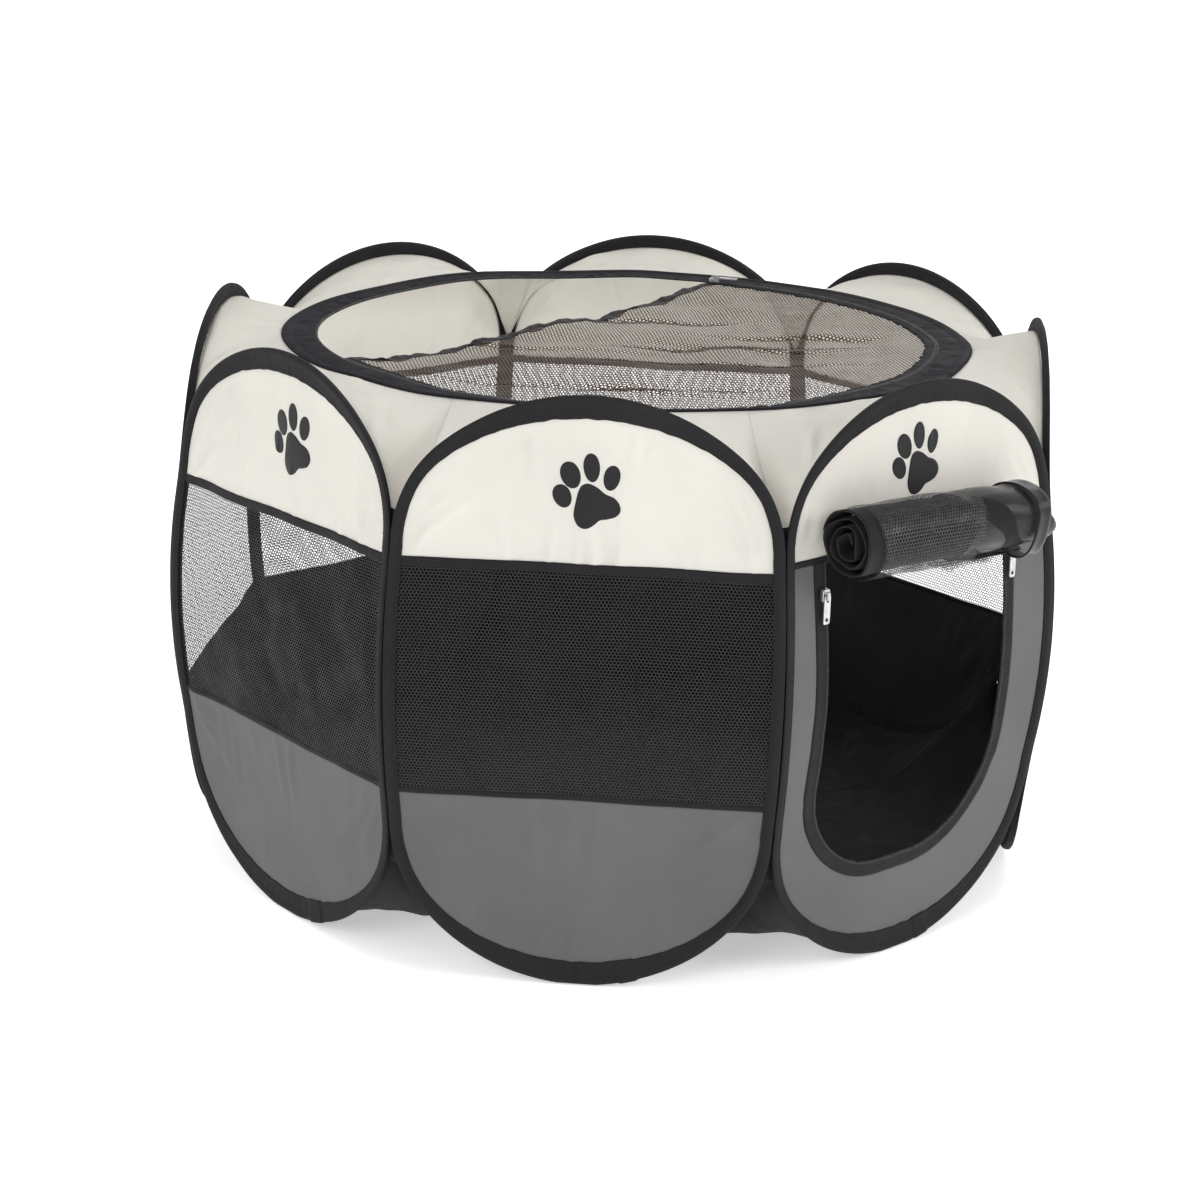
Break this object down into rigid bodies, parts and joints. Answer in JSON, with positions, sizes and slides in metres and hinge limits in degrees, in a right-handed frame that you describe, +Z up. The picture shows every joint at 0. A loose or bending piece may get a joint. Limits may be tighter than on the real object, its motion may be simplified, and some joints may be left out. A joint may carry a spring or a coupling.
{
  "type": "pet playpen",
  "caption": "Pop-up octagonal pet playpen with sprung hoop panels, netting windows, a zipped netting top and a rolled-up netting door.",
  "frame": {"origin": "on the ground under the middle of the pen, in the middle of the floor cloth's underside", "axes": "+Z up; -Y is the outward side of the door panel; +X is to the right of somebody looking at the door"},
  "size_m": [0.908, 0.9622, 0.5839],
  "materials": {
    "binding": "black polyester binding tape",
    "spring_steel": "flat spring-steel strip",
    "cream_cloth": "cream woven polyester",
    "grey_cloth": "grey woven polyester, black backing",
    "netting": "black polyester netting",
    "floor_cloth": "black coated polyester",
    "zip_tape": "black zip tape with coil",
    "strap": "black smooth webbing",
    "zip_metal": "nickel-plated zinc"
  },
  "bodies": {
    "panel_1": {"binding_1": "binding", "hoop_wire_1": "spring_steel", "upper_cloth_1": "cream_cloth", "window_net_1": "netting", "lower_cloth_1": "grey_cloth", "roof_gore_1": "cream_cloth"},
    "panel_2": {"binding_2": "binding", "hoop_wire_2": "spring_steel", "upper_cloth_2": "cream_cloth", "window_net_2": "netting", "lower_cloth_2": "grey_cloth", "roof_gore_2": "cream_cloth"},
    "panel_3": {"binding_3": "binding", "hoop_wire_3": "spring_steel", "upper_cloth_3": "cream_cloth", "door_surround": "grey_cloth", "door_zip_tape": "zip_tape", "roof_zip_tape": "zip_tape", "floor_cloth": "floor_cloth", "roof_gore_3": "cream_cloth"},
    "panel_4": {"binding_4": "binding", "hoop_wire_4": "spring_steel", "upper_cloth_4": "cream_cloth", "window_net_4": "netting", "lower_cloth_4": "grey_cloth", "roof_gore_4": "cream_cloth"},
    "panel_5": {"binding_5": "binding", "hoop_wire_5": "spring_steel", "upper_cloth_5": "cream_cloth", "window_net_5": "netting", "lower_cloth_5": "grey_cloth", "roof_gore_5": "cream_cloth"},
    "panel_6": {"binding_6": "binding", "hoop_wire_6": "spring_steel", "upper_cloth_6": "cream_cloth", "window_net_6": "netting", "lower_cloth_6": "grey_cloth", "roof_gore_6": "cream_cloth"},
    "panel_7": {"binding_7": "binding", "hoop_wire_7": "spring_steel", "upper_cloth_7": "cream_cloth", "window_net_7": "netting", "lower_cloth_7": "grey_cloth", "roof_gore_7": "cream_cloth"},
    "panel_8": {"binding_8": "binding", "hoop_wire_8": "spring_steel", "upper_cloth_8": "cream_cloth", "window_net_8": "netting", "lower_cloth_8": "grey_cloth", "roof_gore_8": "cream_cloth"},
    "top_cover": {"cover_zip_tape": "zip_tape", "cover_net": "netting"},
    "cover_slider": {"cover_slider": "zip_metal"},
    "cover_pull": {"cover_pull": "zip_metal"},
    "rolled_door": {"door_roll": "netting", "roll_strap": "strap"},
    "door_slider_left": {"door_slider_left": "zip_metal"},
    "door_pull_left": {"door_pull_left": "zip_metal"},
    "door_slider_right": {"door_slider_right": "zip_metal"},
    "door_pull_right": {"door_pull_right": "zip_metal"}
  },
  "joints": [
    {"name": "fold", "type": "hinge", "parent": "panel_3", "child": "panel_4", "pos_m": [0.17811, -0.43, 0], "axis": [0, 0, 1], "range_deg": [0, 125], "deforming": ["roof_gore_1", "roof_gore_2", "roof_gore_3", "roof_gore_4", "roof_gore_5", "roof_gore_6", "roof_gore_7", "roof_gore_8", "roof_zip_tape", "cover_net", "cover_zip_tape", "floor_cloth", "cover_slider", "cover_pull"]},
    {"name": "fold_4_5", "type": "hinge", "parent": "panel_4", "child": "panel_5", "pos_m": [0.454, -0.18805, 0], "axis": [0, 0, 1], "range_deg": [-125, 0]},
    {"name": "fold_5_6", "type": "hinge", "parent": "panel_5", "child": "panel_6", "pos_m": [0.43, 0.17811, 0], "axis": [0, 0, 1], "range_deg": [0, 125]},
    {"name": "fold_6_7", "type": "hinge", "parent": "panel_6", "child": "panel_7", "pos_m": [0.18805, 0.454, 0], "axis": [0, 0, 1], "range_deg": [-125, 0]},
    {"name": "fold_3_2", "type": "hinge", "parent": "panel_3", "child": "panel_2", "pos_m": [-0.18805, -0.454, 0], "axis": [0, 0, 1], "range_deg": [0, 125]},
    {"name": "fold_2_1", "type": "hinge", "parent": "panel_2", "child": "panel_1", "pos_m": [-0.43, -0.17811, 0], "axis": [0, 0, 1], "range_deg": [-125, 0]},
    {"name": "fold_1_8", "type": "hinge", "parent": "panel_1", "child": "panel_8", "pos_m": [-0.454, 0.18805, 0], "axis": [0, 0, 1], "range_deg": [0, 125]},
    {"name": "cover_lift", "type": "slide", "parent": "panel_3", "child": "top_cover", "axis": [0, 0, 1], "range_m": [0, 0.15]},
    {"name": "cover_slider_run", "type": "hinge", "parent": "panel_6", "child": "cover_slider", "pos_m": [0, 0, 0.5515], "axis": [0, 0, 1], "range_deg": [-178, 136]},
    {"name": "cover_pull_swing", "type": "hinge", "parent": "cover_slider", "child": "cover_pull", "pos_m": [0.28072, 0.16867, 0.5566], "axis": [-0.8572, -0.515, 0], "range_deg": [0, 150]},
    {"name": "door_roll_swing", "type": "hinge", "parent": "panel_3", "child": "rolled_door", "pos_m": [0, -0.4395, 0.431], "axis": [1, 0, 0], "range_deg": [0, 25]},
    {"name": "door_slider_left_run", "type": "slide", "parent": "panel_3", "child": "door_slider_left", "axis": [0, -0.0686, -0.9976], "range_m": [0, 0.1]},
    {"name": "door_pull_left_swing", "type": "hinge", "parent": "door_slider_left", "child": "door_pull_left", "pos_m": [-0.138, -0.45162, 0.4], "axis": [-1, 0, 0], "range_deg": [0, 90]},
    {"name": "door_slider_right_run", "type": "slide", "parent": "panel_3", "child": "door_slider_right", "axis": [0, -0.0686, -0.9976], "range_m": [0, 0.1]},
    {"name": "door_pull_right_swing", "type": "hinge", "parent": "door_slider_right", "child": "door_pull_right", "pos_m": [0.12, -0.45162, 0.4], "axis": [-1, 0, 0], "range_deg": [0, 90]}
  ],
  "couplings": [
    {"joint": "fold_4_5", "follows": "fold", "ratio": -1},
    {"joint": "fold_5_6", "follows": "fold", "ratio": 1},
    {"joint": "fold_6_7", "follows": "fold", "ratio": -1},
    {"joint": "fold_3_2", "follows": "fold", "ratio": 1},
    {"joint": "fold_2_1", "follows": "fold", "ratio": -1},
    {"joint": "fold_1_8", "follows": "fold", "ratio": 1}
  ]
}
